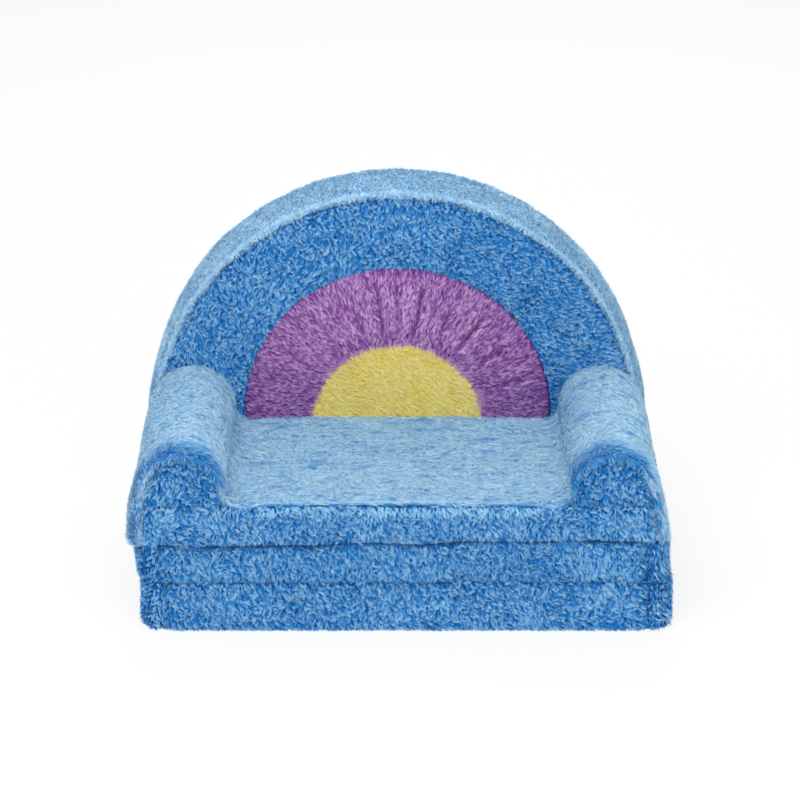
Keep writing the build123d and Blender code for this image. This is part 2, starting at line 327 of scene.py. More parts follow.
# How deep the front seam is drawn in along that section
SEAM_SIDE, SEAM_ARM, SEAM_SEAT = 17.0, 12.5, 9.0
section_ends = np.cumsum(SECTION_COUNTS)
seam_insets = np.interp(
    np.arange(section_ends[-1]),
    (0, section_ends[1], section_ends[1] + 20, section_ends[3], section_ends[3] + 6),
    (SEAM_SIDE, SEAM_SIDE, SEAM_ARM, SEAM_ARM, SEAM_SEAT),
)


def front_section(share):
    """Half section near the front seam: share 0 is the full form, 1 is the seam."""
    tries = {inset: seat_section(PILE_DEPTH + (inset - PILE_DEPTH) * share)
             for inset in (SEAM_SIDE, SEAM_ARM, SEAM_SEAT)}
    upper = np.interp(seam_insets, (SEAM_ARM, SEAM_SIDE), (0, 1))[:, None]
    lower = np.interp(seam_insets, (SEAM_SEAT, SEAM_ARM), (1, 0))[:, None]
    line = tries[SEAM_ARM] * (1 - upper - lower)
    return line + tries[SEAM_SIDE] * upper + tries[SEAM_SEAT] * lower


def mirrored(half):
    """Half section followed by its mirror image."""
    return np.vstack([half, (half * (-1, 1))[-2::-1]])


def half_disc_line(radius, centre_z, low):
    """Arch from right to left, from a height up and over to the same height."""
    drop = (low - centre_z) / radius
    start = math.degrees(math.asin(max(-1.0, min(1.0, drop))))
    return arc((0, centre_z), radius, start, 180 - start, 181)


def at_depth(line, y):
    """Points of an upright line, all at one depth or each at its own."""
    return np.c_[line[:, 0], np.broadcast_to(y, len(line)), line[:, 1]]


# Sheets: grids of points with the outward normal on one side

def normals_of(grid):
    """Unit normal at each point of a grid."""
    return unit(np.cross(np.gradient(grid, axis=1), np.gradient(grid, axis=0)))


def sheet(rows, outward):
    """Grid from rows of points, turned so that its normals look along outward."""
    grid = np.array(rows, float)
    normals = normals_of(grid)
    facing = (normals * np.asarray(outward(grid) if callable(outward) else outward)).sum(-1).mean()
    return grid[:, ::-1] if facing < 0 else grid


def from_middle(grid):
    """Vectors out of the upright line through the sofa's middle."""
    away = grid.copy()
    away[..., 2] = 0
    return away


def border_distance(grid):
    """Rough distance of each point of a grid from its rows' ends and its columns' ends."""
    rows, columns = grid.shape[:2]
    row_size = np.linalg.norm(np.diff(grid, axis=0), axis=2)
    column_size = np.linalg.norm(np.diff(grid, axis=1), axis=2)
    down = np.vstack([np.zeros(columns), np.cumsum(row_size, axis=0)])
    across = np.hstack([np.zeros((rows, 1)), np.cumsum(column_size, axis=1)])
    return down, down[-1] - down, across, across[:, -1:] - across


def crease(grid, depth, size, channel=0, edge=18.0):
    """Grid moved in and out by smooth noise, fading out at its borders."""
    weight = np.ones(grid.shape[:2])
    for distance in border_distance(grid):
        weight = weight * smooth(distance / edge)
    swell = noise(grid, size, channel) + 0.5 * noise(grid, size * 0.45, channel + 1)
    return grid + normals_of(grid) * (weight * depth * swell)[..., None]


def zip_sink(grid):
    """Grid pushed in behind the zip slots of the rear."""
    moved = grid.copy()
    x, y, z = grid[..., 0], grid[..., 1], grid[..., 2]
    for middle in zip_heights:
        along = smooth((ZIP_HALF_LENGTH + ZIP_EASE - np.abs(x)) / ZIP_EASE)
        upright = smooth((ZIP_HALF_HEIGHT + ZIP_EASE - np.abs(z - middle)) / ZIP_EASE)
        rear = smooth((y - rear_y + 30) / 10)
        moved[..., 1] -= ZIP_SINK * along * upright * rear
    return moved


# Heights from a panel's seams, and shares of rings from their edge, close where a seam rounds
WALL_RISES = (0, 0.8, 2, 4, 7, 11, 16)
STRIP_RISES = (0, 1, 2.5, 5, 8, 12, 18)
CAP_RINGS = (1, 0.985, 0.96, 0.92)
REAR_RINGS = (1, 0.992, 0.98, 0.965, 0.95)
RING_END = 0.001


def wall_sheet(low, high, start, end, hem=False, top_draw=None):
    """Part of a flat cushion's boxing, between two shares of its outline."""
    top_draw = SEAM_DRAW if top_draw is None else top_draw
    count = int((end - start) * 2350 / GRID_STEP) + 2
    along = np.linspace(0, 1, count) * (end - start) * outline_length
    corner = np.zeros(count)
    if start > 0:
        corner = np.maximum(corner, roll(along, SEAM_DRAW, SEAM_RUN))
    if end < 1:
        corner = np.maximum(corner, roll(along[::-1], SEAM_DRAW, SEAM_RUN))
    rows = []
    rises = np.r_[WALL_RISES, np.linspace(22, (high - low) / 2, 4)]
    for height in np.unique(np.r_[low + rises, high - rises]):
        above, below = height - low, high - height
        draw = roll(above, HEM_DRAW, HEM_RUN) if hem else roll(above, SEAM_DRAW, SEAM_RUN)
        inset = PILE_DEPTH + max(float(draw), float(roll(below, top_draw, SEAM_RUN)))
        outer = spread(plan_outline(inset), count, start, end)
        inner = spread(plan_outline(inset + SEAM_DRAW), count, start, end)
        line = outer + (inner - outer) * (corner / SEAM_DRAW)[:, None]
        rows.append(np.c_[line, np.full(count, height)])
    return zip_sink(sheet(rows, from_middle))


def flat_sheet(z, inset, up):
    """Rounded rectangle at one height, in rings from its edge to its middle."""
    line = spread(plan_outline(inset), 301)
    rows = [np.c_[line * share, np.full(len(line), z)] for share in np.linspace(1, RING_END, 41)]
    return sheet(rows, (0, 0, 1 if up else -1))


# Rolled front edge of the wrap: depth behind the front, and share of the seam's draw
WRAP_ROLL = ((12.0, 1.0), (8.0, 1.0), (5.6, 0.85), (5.0, 0.62), (6.2, 0.34), (9.0, 0.14),
             (13.5, 0.04), (20.0, 0.0))


def wrap_sheet():
    """Seat wrap: the seat's section run from its front seam to the back."""
    rows = [at_depth(mirrored(front_section(share)), front_y + depth) for depth, share in WRAP_ROLL]
    line = mirrored(seat_section(PILE_DEPTH))
    depths = np.linspace(WRAP_ROLL[-1][0], SEAT_DEPTH, 58)[1:]
    return sheet(rows + [at_depth(line, front_y + depth) for depth in depths], (0, 0, 1))


def wrap_rear_sheet(side):
    """Seat wrap beside and under the back, down to the base."""
    rows = []
    for y in np.linspace(face_y - 6, rear_y - PILE_DEPTH, 24):
        inset = PILE_DEPTH + float(roll(rear_y - PILE_DEPTH - y, SEAM_DRAW, SEAM_RUN))
        x = wall_x(seat_top, inset)
        top = arc((x - 6, seat_top - 8), 6, 0, 90, 6)
        line = spread(np.vstack([base_edge(inset), top, [(x - 26, seat_top - 2)]]), 20)
        rows.append(at_depth(line * (side, 1), y))
    return sheet(rows, (side, 0, 0.2))


def strip_sheet():
    """Front boxing panel of the top cushion, ending at the wrap's seam all round."""
    seam = front_section(1.0)[: section_ends[1]]
    rows = []
    low, high = seat_base + 1, strip_top + 1.0
    rises = np.array(STRIP_RISES)
    for z in np.unique(np.r_[low + rises, high - rises, (low + high) / 2]):
        reach = np.interp(z, seam[:, 1], seam[:, 0]) + 0.5
        x = np.linspace(-1, 1, 150)
        x = reach * np.sign(x) * (1 - (1 - np.abs(x)) ** 1.15)
        gap = 1 - roll(reach - np.abs(x), 1, SEAM_RUN)
        gap = gap * (1 - roll(z - low, HINGE_DRAW / SEAM_DRAW, SEAM_RUN))
        gap = gap * (1 - roll(high - z, 1, SEAM_RUN))
        y = front_y + PILE_DEPTH + SEAM_DRAW * (1 - gap)
        rows.append(np.c_[x, y, np.full(len(x), z)])
    return sheet(rows, (0, -1, 0))


def cap_sheet(side):
    """Half-round front of an arm, domed, in rings from the wrap's seam to its middle."""
    seam = front_section(1.0)
    keep = (seam[:, 1] > strip_top + 1.5) & (seam[:, 0] > 200)
    outline = seam[keep]
    outline = np.vstack([[(outline[0, 0], strip_top + 1.5)], outline,
                         [(outline[-1, 0], strip_top + 1.5), (outline[0, 0], strip_top + 1.5)]])
    middle = np.array([arm_x, arm_z - 4])
    line = spread(outline, 161) - middle
    rows = []
    for share in np.r_[CAP_RINGS, np.linspace(0.86, RING_END, 13)]:
        dome = SEAM_DRAW * (1 - roll(1 - share, 1, 0.3))
        ring = (line * share + middle) * (side, 1)
        rows.append(at_depth(ring, front_y + PILE_DEPTH + SEAM_DRAW - dome))
    return sheet(rows, (0, -1, 0))


def fold_depth(x, z):
    """Depth of the pull folds at places of the back's face, below 0 on their ridges."""
    low = z - yellow_z
    radius = np.hypot(x, low)
    turn = np.degrees(np.arctan2(low, x))
    fold = np.zeros_like(x)
    for middle, inner, outer, depth in FOLDS:
        across = np.radians(turn - middle) * radius
        window = smooth((radius - inner) / 14) * smooth((outer - radius) / 14)
        valley = np.exp(-((across / FOLD_WIDTH) ** 2))
        ridges = np.exp(-(((np.abs(across) - 1.7 * FOLD_WIDTH) / FOLD_WIDTH) ** 2))
        fold += FOLD_SCALE * depth * window * (valley - 0.6 * ridges)
    return fold


def face_place(x, z):
    """Point of the back's face: leaning, crowned, drawn in at its edge and pulled into folds."""
    distance = np.hypot(x, z - back_z)
    angle = np.degrees(np.arctan2(z - back_z, x))
    dome = BACK_CROWN * (1 - (distance / face_edge) ** 2)
    right = smooth((angle - 8) / 14) * smooth((66 - angle) / 14)
    off = face_edge - distance
    sunk = roll(off, 6.0, 13.0) + 5.0 * right * smooth(1 - off / 34)
    fold = fold_depth(x, z)
    place = np.stack([x, np.full_like(x, face_y), z], axis=-1)
    swell = 1.6 * noise(place, 70.0, 40) + 0.9 * noise(place, 30.0, 41)
    swell = swell * smooth(off / 20)
    for ring_radius, ring_z in ((purple_radius, purple_z), (yellow_radius, yellow_z)):
        aside = np.abs(np.hypot(x, z - ring_z) - ring_radius)
        fold += 1.8 * np.exp(-((aside / 5.0) ** 2))
    y = face_y + (z - seat_top) * math.tan(BACK_LEAN) - dome + PILE_DEPTH + sunk + fold - swell
    return np.stack([x, y, z], axis=-1)


def band_sheet(inner, outer, count, low):
    """Band of the back's face between two arches, given as (radius, centre height)."""
    rows = []
    lines = [spread(half_disc_line(radius, centre, low), 240) for radius, centre in (inner, outer)]
    for share in np.linspace(0, 1, count):
        line = lines[0] * (1 - share) + lines[1] * share
        rows.append(face_place(line[:, 0], line[:, 1]))
    return sheet(rows, (0, -1, 0))


# Rolled edges of the gusset: depth from the panel it meets, and inset
GUSSET_ROLL = ((8.0, 14.0), (5.0, 13.6), (3.4, 12.0), (3.2, 9.6), (4.6, 7.4), (8.0, 5.9),
               (13.0, 5.2), (20.0, 4.6))


def gusset_sheet():
    """Arched boxing round the back, from the face's rim to the rear panel's."""
    thickness = rear_y - face_y
    places = [(depth, inset) for depth, inset in GUSSET_ROLL]
    for depth in np.linspace(26, thickness - 26, 12):
        places.append((depth, PILE_DEPTH - GUSSET_BULGE * math.sin(math.pi * depth / thickness)))
    places += [(thickness - depth, inset) for depth, inset in GUSSET_ROLL[::-1]]
    rows = []
    for depth, inset in places:
        line = spread(half_disc_line(back_radius - inset, back_z, seat_top - 3), 260)
        lean = (line[:, 1] - seat_top) * math.tan(BACK_LEAN) * (1 - depth / thickness)
        rows.append(at_depth(line, face_y + depth + lean))
    return sheet(rows, lambda grid: grid - np.array([0, 0, back_z]))


def rear_sheet():
    """Rear panel: the half disc and the rear of the seat below it, in rings."""
    low = seat_base + 1
    reach = wall_x(seat_top, EDGE_INSET)
    low_reach = wall_x(wall_low, EDGE_INSET)
    arch = half_disc_line(face_edge, back_z, seat_top + 4)
    right = [(low_reach, low), (low_reach, wall_low), (reach, seat_top - 6),
             (reach - 3, seat_top - 1)]
    left = [(-x, z) for x, z in right[::-1]]
    outline = np.vstack([right, arch, left, [(low_reach, low)]])
    middle_z = seat_top + 60
    line = spread(outline, 381) - (0, middle_z)
    rows = []
    for share in np.r_[REAR_RINGS, np.linspace(0.93, RING_END, 53)]:
        sunk = SEAM_DRAW * roll(1 - share, 1, 0.06)
        rows.append(at_depth(line * share + (0, middle_z), rear_y - PILE_DEPTH - sunk))
    return zip_sink(sheet(rows, (0, 1, 0)))


# Meshes

def link_object(name, data):
    """New object in the scene."""
    made = bpy.data.objects.new(name, data)
    bpy.context.scene.collection.objects.link(made)
    return made


def mesh_object(name, vertices, faces):
    """Object with a mesh of millimetre vertices."""
    mesh = bpy.data.meshes.new(name)
    mesh.from_pydata([tuple(v) for v in np.asarray(vertices) * MM], [], [tuple(f) for f in faces])
    mesh.update()
    return link_object(name, mesh)


def skin_faces(rows, columns):
    """Faces of a closed skin: outer grid, inner grid and the rim between them."""
    count = rows * columns
    index = np.arange(count).reshape(rows, columns)
    corners = (index[:-1, :-1], index[:-1, 1:], index[1:, 1:], index[1:, :-1])
    outer = np.stack(corners, -1).reshape(-1, 4)
    ring = np.r_[index[0, :-1], index[:-1, -1], index[-1, :0:-1], index[:0:-1, 0]]
    follow = np.roll(ring, -1)
    rim = np.stack([follow, ring, ring + count, follow + count], -1)
    return np.vstack([outer, outer[:, ::-1] + count, rim])


def skin_object(name, grids, material, body, nodes=(), place=settle):
    """Backing of a panel: each grid put in place and thickened inwards, all in one object."""
    vertices, faces, total = [], [], 0
    for grid in grids:
        grid = place(grid)
        inner = grid - normals_of(grid) * BACKING
        both = np.vstack([grid.reshape(-1, 3), inner.reshape(-1, 3)])
        vertices.append(both)
        faces.append(skin_faces(*grid.shape[:2]) + total)
        total += len(both)
    made = mesh_object(name, np.vstack(vertices), np.vstack(faces).tolist())
    made.data.shade_smooth()
    return dress(made, material, body, nodes)


def dress(made, material, body, nodes=()):
    """Material, body and replaced nodes of a piece."""
    made.data.materials.append(material)
    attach(made, body)
    if nodes:
        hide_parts(*nodes)
    return made


BLADE_LIMIT = 66000
BLADE_LOOPS = np.array([0, 1, 2, 3, 3, 2, 4])
BLADE_HEIGHTS = np.array([0.02, 0.02, 0.5, 0.5, 0.98])
BLADE_TONES = np.array([-0.01, 0.01, 0.008, -0.008, 0.0])


def blade_mesh(name, corners, shading, tones):
    """Mesh of tapered blades, five corners each, with tone and height as its UV."""
    count = len(corners)
    indices = (np.arange(count)[:, None] * 5 + BLADE_LOOPS).ravel()
    starts = (np.arange(count)[:, None] * 7 + (0, 4)).ravel()
    mesh = bpy.data.meshes.new(name)
    mesh.vertices.add(count * 5)
    mesh.vertices.foreach_set("co", (corners * MM).astype(np.float32).ravel())
    mesh.loops.add(count * 7)
    mesh.loops.foreach_set("vertex_index", indices.astype(np.int32))
    mesh.polygons.add(count * 2)
    mesh.polygons.foreach_set("loop_start", starts.astype(np.int32))
    layer = mesh.uv_layers.new(name="OFBake")
    uv = np.empty((count, 7, 2), np.float32)
    uv[..., 0] = np.clip(tones, 0.02, 0.98)[:, None] + BLADE_TONES[BLADE_LOOPS]
    uv[..., 1] = BLADE_HEIGHTS[BLADE_LOOPS]
    layer.data.foreach_set("uv", uv.ravel())
    mesh.update(calc_edges=True)
    normal = mesh.attributes.new("custom_normal", "FLOAT_VECTOR", "POINT")
    normal.data.foreach_set("vector", shading.astype(np.float32).ravel())
    return mesh


def scatter(grid, density, rng):
    """Places, normals and border distances of blades spread over a grid by area."""
    normals = normals_of(grid)
    edge_u = grid[:-1, 1:] - grid[:-1, :-1]
    edge_v = grid[1:, :-1] - grid[:-1, :-1]
    areas = np.linalg.norm(np.cross(edge_u, edge_v), axis=-1).ravel()
    count = int(areas.sum() * density)
    cell = np.searchsorted(np.cumsum(areas) / areas.sum(), np.sort(rng.random(count)))
    cell = np.minimum(cell, len(areas) - 1)
    row, column = np.divmod(cell, grid.shape[1] - 1)
    u, v = rng.random((2, count, 1))
    corners = ((row, column, (1 - u) * (1 - v)), (row, column + 1, u * (1 - v)),
               (row + 1, column, (1 - u) * v), (row + 1, column + 1, u * v))
    borders = np.stack(border_distance(grid), axis=-1)
    place = sum(grid[r, c] * w for r, c, w in corners)
    normal = unit(sum(normals[r, c] * w for r, c, w in corners))
    border = sum(borders[r, c] * w for r, c, w in corners)
    return place, normal, border


def in_zip_slot(place):
    """Whether places lie in one of the zip slots."""
    inside = np.zeros(len(place), bool)
    for middle in zip_heights:
        inside |= np.abs(place[:, 2] - middle) < ZIP_HALF_HEIGHT
    return inside & (np.abs(place[:, 0]) < ZIP_HALF_LENGTH) & (place[:, 1] > rear_y - ZIP_ROOM)


# Front panels that meet another front when the sofa is open; their pile pieces get a mesh of their
# own
PRESSED_PANELS = ("middle_front_pile", "seat_front_pile")

# Streaks of the combed pile are this much shorter along each axis than across
STREAK_SHAPE = (0.22, 1.0, 0.22)


def press(made):
    """Give a front's pile piece its own copy of its mesh."""
    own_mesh(made)


# Pile: its flattest lie in degrees, how deep it is rooted and how far it stays off the floor
LIE_LIMIT = 86.0
ROOT_DEPTH = 0.5
FLOOR_GAP = 0.4
# At a seam the pile keeps this share of its height, and is darkened by painted shade; with how far
# each reaches
SEAM_KEEP, SHORT_REACH = 0.45, 5.5
SEAM_SHADE, SHADE_REACH = 0.75, 5.0
# How length and tone vary from blade to blade and from tuft to tuft
BLADE_LENGTH, TUFT_LENGTH = 0.13, 0.12
BLADE_TONE, TUFT_TONE = 0.28, 1.1


def grow(name, grids, material, body, slot, density=0.4, length=9.0, width=0.37, lie=40.0,
         comb=(0, 0, -1), wander=0.6, clump=0.8, tuft=4.0, jitter=0.14, tone=0.5, tone_range=0.68,
         seams=(), edges=(), seed=0, ceiling=None, vary=None, streaks=0.0, swirl=1.0, gap=0.95):
    """Pile of a panel: blades spread over its grids by area, split into pieces.

    lie is the angle from upright in degrees, comb the way it is brushed, clump how far tips draw
    together in tufts, gap how much painted shade darkens it between them, and swirl how much each
    tuft turns from the comb. seams are the borders (0 to 3) at which the pile is short and darkened
    by painted shade, edges those where it only has that painted shade. streaks says how much darker
    its combed streaks are, and vary what it adds to lie and tone and multiplies length by.
    """
    rng = np.random.default_rng(SEED * 1000 + seed)
    found = [scatter(settle(grid), density, rng) for grid in grids]
    place, normal, border = (np.vstack(part) for part in zip(*found))
    free = ~in_zip_slot(place)
    place, normal, border = place[free], normal[free], border[free]
    count = len(place)

    def along(vectors):
        """Part of the vectors that lies in the surface."""
        return vectors - normal * (vectors * normal).sum(-1, keepdims=True)

    varied = vary(place, border) if vary else (0.0, 0.0, 1.0)
    more_lie, more_tone, longer = (np.broadcast_to(value, count) for value in varied)
    gather, traits = tufts(place, tuft, seed)
    gather = along(gather)
    reach = np.linalg.norm(gather, axis=1) / tuft
    brushed = comb(place, normal) if callable(comb) else np.asarray(comb, float)
    flow = along(brushed + wander * noise_vectors(place, 26.0, 3) + swirl * traits[:, 1:4])
    flow = unit(flow) * np.minimum(np.linalg.norm(flow, axis=1, keepdims=True) * 1.6, 1)
    seam = np.min(border[:, list(seams)], axis=1) if len(seams) else np.full(count, 99.0)
    edge = np.min(border[:, list(seams) + list(edges)], axis=1) if seams or edges else seam
    short = SEAM_KEEP + (1 - SEAM_KEEP) * smooth(seam / SHORT_REACH)
    size = length * (1 + BLADE_LENGTH * rng.normal(size=count)) * (1 + TUFT_LENGTH * traits[:, 0])
    size = (size * short * longer * (1 - 0.22 * np.clip(reach, 0, 1)))[:, None]
    lean = (lie + more_lie)[:, None]
    angle = np.radians(lean * (1 + 0.12 * rng.normal(size=(count, 1)) + 0.1 * traits[:, :1]))
    angle = np.minimum(angle, math.radians(LIE_LIMIT))
    stray = along(rng.normal(size=(count, 3))) * jitter
    draw = gather * clump
    drawn = np.maximum(np.linalg.norm(draw, axis=1, keepdims=True), 1e-6)
    draw = draw * np.minimum(1, size * 0.75 / drawn)
    roots = place - normal * ROOT_DEPTH
    half = angle * 0.55
    middles = roots + (normal * np.cos(half) + flow * np.sin(half) + stray * 0.5) * size * 0.5
    middles += draw * 0.35
    tips = roots + (normal * np.cos(angle) + flow * np.sin(angle) + stray) * size * 0.95 + draw
    if ceiling:
        middles[:, 2] = np.minimum(middles[:, 2], ceiling)
        tips[:, 2] = np.minimum(tips[:, 2], ceiling)
    strand = unit(tips - roots)
    sides = unit(np.cross(strand, normal + 0.45 * rng.normal(size=(count, 3)))) * width
    facing = (np.cross(sides, strand) * normal).sum(-1, keepdims=True)
    sides = np.where(facing < 0, -sides, sides)
    corners = np.stack(
        [roots - sides, roots + sides, middles + sides * 0.85, middles - sides * 0.85, tips], axis=1
    )
    corners[..., 2] = np.maximum(corners[..., 2], FLOOR_GAP)
    round_off = -gather / tuft
    face = unit(np.cross(sides, strand))
    look = unit(0.6 * normal + round_off + face + 0.15 * rng.normal(size=(count, 3)))
    shading = np.repeat(look[:, None, :], 5, axis=1)
    uneven = TUFT_TONE * traits[:, 3] + BLADE_TONE * rng.normal(size=count)
    tones = tone + more_tone + tone_range * uneven
    # Painted shade between the tufts, as strong as gap says
    tones += 0.1 * noise(place, 48.0, 9) - gap * np.clip(reach - 0.3, 0, 1)
    combed = noise(place * STREAK_SHAPE, 3.2, 12) + 0.5 * noise(place * STREAK_SHAPE, 7.0, 13)
    tones -= streaks * smooth((combed - 0.3) / 0.4)
    # Painted shade along the seams and edges
    tones -= SEAM_SHADE * (1 - smooth(edge / SHADE_REACH))
    parts = math.ceil(count / BLADE_LIMIT)
    for part in range(parts):
        pick = slice(part * count // parts, (part + 1) * count // parts)
        piece = f"{name}_{part + 1}"
        made = link_object(piece, blade_mesh(piece, corners[pick], shading[pick], tones[pick]))
        dress(made, material, body)
        if name in PRESSED_PANELS:
            press(made)


# Materials

def srgb(red, green, blue):
    """Linear colour of an sRGB one given from 0 to 255."""
    shares = [c / 255 for c in (red, green, blue)]
    linear = [c / 12.92 if c <= 0.04045 else ((c + 0.055) / 1.055) ** 2.4 for c in shares]
    return (*linear, 1.0)


def feed(tree, node, inputs):
    """Inputs of a node set to values, or joined to outputs of other nodes."""
    for name, value in inputs.items():
        if isinstance(value, bpy.types.NodeSocket):
            tree.links.new(value, node.inputs[name])
        else:
            node.inputs[name].default_value = value


def add_node(tree, kind, inputs=None, **settings):
    """New node of a kind with its settings and inputs."""
    made = tree.nodes.new(f"ShaderNode{kind}")
    for name, value in settings.items():
        setattr(made, name, value)
    feed(tree, made, inputs or {})
    return made


def new_material(name):
    """Node material with a Principled shader: the material, its tree and the shader."""
    material = bpy.data.materials.new(name)
    material.use_nodes = True
    tree = material.node_tree
    return material, tree, tree.nodes["Principled BSDF"]


def ramp_colour(tree, share, places, colours):
    """Colour from a ramp of sRGB colours at the given places."""
    ramp = add_node(tree, "ValToRGB", {"Fac": share})
    elements = ramp.color_ramp.elements
    for place in places[2:]:
        elements.new(place)
    for element, place, colour in zip(elements, places, colours):
        element.position = place
        element.color = srgb(*colour)
    return ramp.outputs["Color"]


def pile_material(name, dark, light, sheen, tint):
    """Pile: colour runs from root to tip, between a dark and a light tuft by its tone."""
    material, tree, shader = new_material(name)
    uv = add_node(tree, "UVMap", uv_map="OFBake").outputs["UV"]
    split = add_node(tree, "SeparateXYZ", {"Vector": uv}).outputs
    dark, light = (ramp_colour(tree, split["Y"], PILE_STOPS, look) for look in (dark, light))
    blend = add_node(tree, "Mix", {"Factor": split["X"], "A": dark, "B": light}, data_type="RGBA")
    feed(tree, shader, {
        "Base Color": blend.outputs["Result"], "Roughness": 0.8, "Specular IOR Level": 0.15,
        "Sheen Weight": sheen, "Sheen Roughness": 0.5, "Sheen Tint": (*tint, 1.0),
    })
    return material


def woven_material(name, low, high, scale=900.0, bump=0.4):
    """Knitted backing under the pile, or a plain woven lining."""
    material, tree, shader = new_material(name)
    place = add_node(tree, "TexCoord").outputs["Object"]
    grain = add_node(tree, "TexNoise", {"Vector": place, "Scale": scale, "Detail": 3.0})
    grain = grain.outputs["Fac"]
    raised = add_node(tree, "Bump", {"Strength": bump, "Distance": 0.0008, "Height": grain})
    feed(tree, shader, {"Base Color": ramp_colour(tree, grain, (0.35, 0.65), (low, high)),
                        "Normal": raised.outputs["Normal"], "Roughness": 0.9})
    return material


def slider_material(name):
    """Enamelled metal of the zip sliders."""
    material, tree, shader = new_material(name)
    grain = add_node(tree, "TexNoise", {"Scale": 260.0}).outputs["Fac"]
    colour = ramp_colour(tree, grain, (0.3, 0.7), ((22, 60, 112), (30, 74, 130)))
    feed(tree, shader, {"Base Color": colour, "Roughness": 0.35, "Metallic": 0.3})
    return material


def darken_front(material, colour):
    """Darker backing at the front edge of the seat, as painted shade along its seam, and further
    back over the arms' fronts, where the standing pile keeps less painted sheen.
    """
    tree = material.node_tree
    place = tree.nodes["Texture Coordinate"].outputs["Object"]
    place = add_node(tree, "SeparateXYZ", {"Vector": place}).outputs

    def calculated(operation, *values):
        """Result of a sum on one or two values."""
        inputs = dict(enumerate(values))
        return add_node(tree, "Math", inputs, operation=operation).outputs["Value"]

    def share(value, start, end):
        """Share from 0 to 1 as a value runs from start to end, in millimetres."""
        inputs = {"Value": value, "From Min": start * MM, "From Max": end * MM}
        return add_node(tree, "MapRange", inputs).outputs["Result"]

    # Less painted sheen where the pile stands up over the arms' fronts
    arms = share(calculated("ABSOLUTE", place["X"]), HOLLOW_EDGE - 4, HOLLOW_EDGE + 12)
    near = share(place["Y"], front_y + 50, front_y + 22)
    # Painted shade along the seat's front seam
    edge = share(place["Y"], front_y + 8, front_y + 6.5)
    dark = calculated("MAXIMUM", calculated("MULTIPLY", arms, near), edge)
    shader = tree.nodes["Principled BSDF"]
    plain = shader.inputs["Base Color"].links[0].from_socket
    blend = add_node(tree, "Mix", {"Factor": dark, "A": plain, "B": colour}, data_type="RGBA")
    feed(tree, shader, {"Base Color": blend.outputs["Result"]})


# Pile: colours of its dark and light tufts from root to tip, at these heights; sheen and tint
PILE_STOPS = (0.0, 0.35, 1.0)
PILE_LOOKS = {
    "blue": (((0, 36, 96), (4, 104, 190), (22, 160, 242)),
             ((4, 110, 200), (122, 208, 255), (208, 244, 255)), 0.12, (0.5, 0.78, 1.0)),
    # The second look is the blue pile made lighter: painted sheen of pile brushed flat
    "painted_light": (((0, 84, 164), (14, 146, 222), (92, 200, 250)),
             ((136, 210, 255), (194, 236, 255), (231, 248, 255)), 0.3, (0.42, 0.72, 1.0)),
    "purple": (((58, 8, 84), (112, 46, 142), (172, 102, 200)),
               ((120, 60, 146), (212, 148, 230), (252, 226, 253)), 0.12, (0.95, 0.8, 1.0)),
    "yellow": (((206, 172, 50), (240, 214, 92), (250, 236, 138)),
               ((238, 214, 96), (254, 244, 150), (255, 252, 208)), 0.12, (1.0, 0.97, 0.75)),
}
# Knit and weave: dark and light thread, how fine the grain is, and how high its bumps
# A lighter copy of the blue backing, painted sheen under that lighter pile; the wrap's backing uses
# it too
PAINTED_LIGHT_KNIT = ((178, 227, 255), (199, 237, 255))
WOVEN_LOOKS = {
    "blue_backing": ((4, 60, 134), (16, 90, 170)),
    "painted_light_backing": PAINTED_LIGHT_KNIT,
    "wrap_backing": PAINTED_LIGHT_KNIT,
    "purple_backing": ((70, 28, 92), (98, 48, 122)),
    "yellow_backing": ((222, 194, 84), (240, 216, 110)),
    "dark_lining": ((30, 28, 32), (52, 48, 54), 1500.0),
    "base_cloth": ((48, 40, 40), (74, 62, 60), 1500.0),
    "foam_look": ((226, 214, 180), (244, 236, 212), 500.0),
    # Dark navy of the front hinge strips, painted shade of the seam they sit in
    "tape_look": ((14, 44, 92), (28, 66, 124), 1800.0),
    "hinge_look": ((22, 80, 146), (36, 102, 172), 1200.0),
    "thread_look": ((70, 130, 190), (104, 162, 216), 2400.0),
    "teeth_look": ((84, 146, 206), (110, 170, 224), 700.0, 0.1),
    "zip_look": ((36, 104, 174), (58, 132, 204), 1400.0),
}
piles = {name: pile_material(f"{name}_pile", *look) for name, look in PILE_LOOKS.items()}
woven = {name: woven_material(name, *look) for name, look in WOVEN_LOOKS.items()}
slider_look = slider_material("slider_look")
darken_front(woven["wrap_backing"], srgb(36, 136, 208))


# Pieces

SEAT, MIDDLE, BOTTOM = "seat_unit", "middle_cushion", "bottom_cushion"


def panel(name, grids, body, nodes, colour="blue", painted_light=False, **pile):
    """Backing skin and pile of one cover panel, lighter where it is brushed flat: that lighter copy
    of its colour is painted sheen.
    """
    slot = f"{colour}_plush"
    colour = "painted_light" if painted_light else colour
    knit = "wrap" if name == "seat_wrap_cover" else colour
    made = skin_object(name, grids, woven[f"{knit}_backing"], body, nodes)
    grow(f"{name}_pile", grids, piles[colour], body, slot, **pile)


def round_the_seat(place, normal):
    """Nap that runs from the left side over the arms and the seat to the right side."""
    over = np.cross(normal, (0, -1, 0))
    front = smooth((front_y + 16 - place[:, 1]) / 14) * smooth((place[:, 2] - seat_top - 4) / 16)
    front = front[:, None]
    return over + np.array([0, -0.35, 0]) + front * np.array([0, -0.6, -0.5]) - over * front * 0.8


def inwards(place, normal):
    """Nap that runs from the arch towards the middle of the colour bands."""
    return np.array([0, 0, yellow_z + 40]) - place * (1, 0, 1)


def sideways(place, normal):
    """Nap of the face, turning from downwards on the left to sideways on the right."""
    turn = smooth((place[:, :1] + 60) / 260)
    return np.array([0, 0, -1.0]) * (1 - turn) + np.array([0.9, 0, -0.5]) * turn


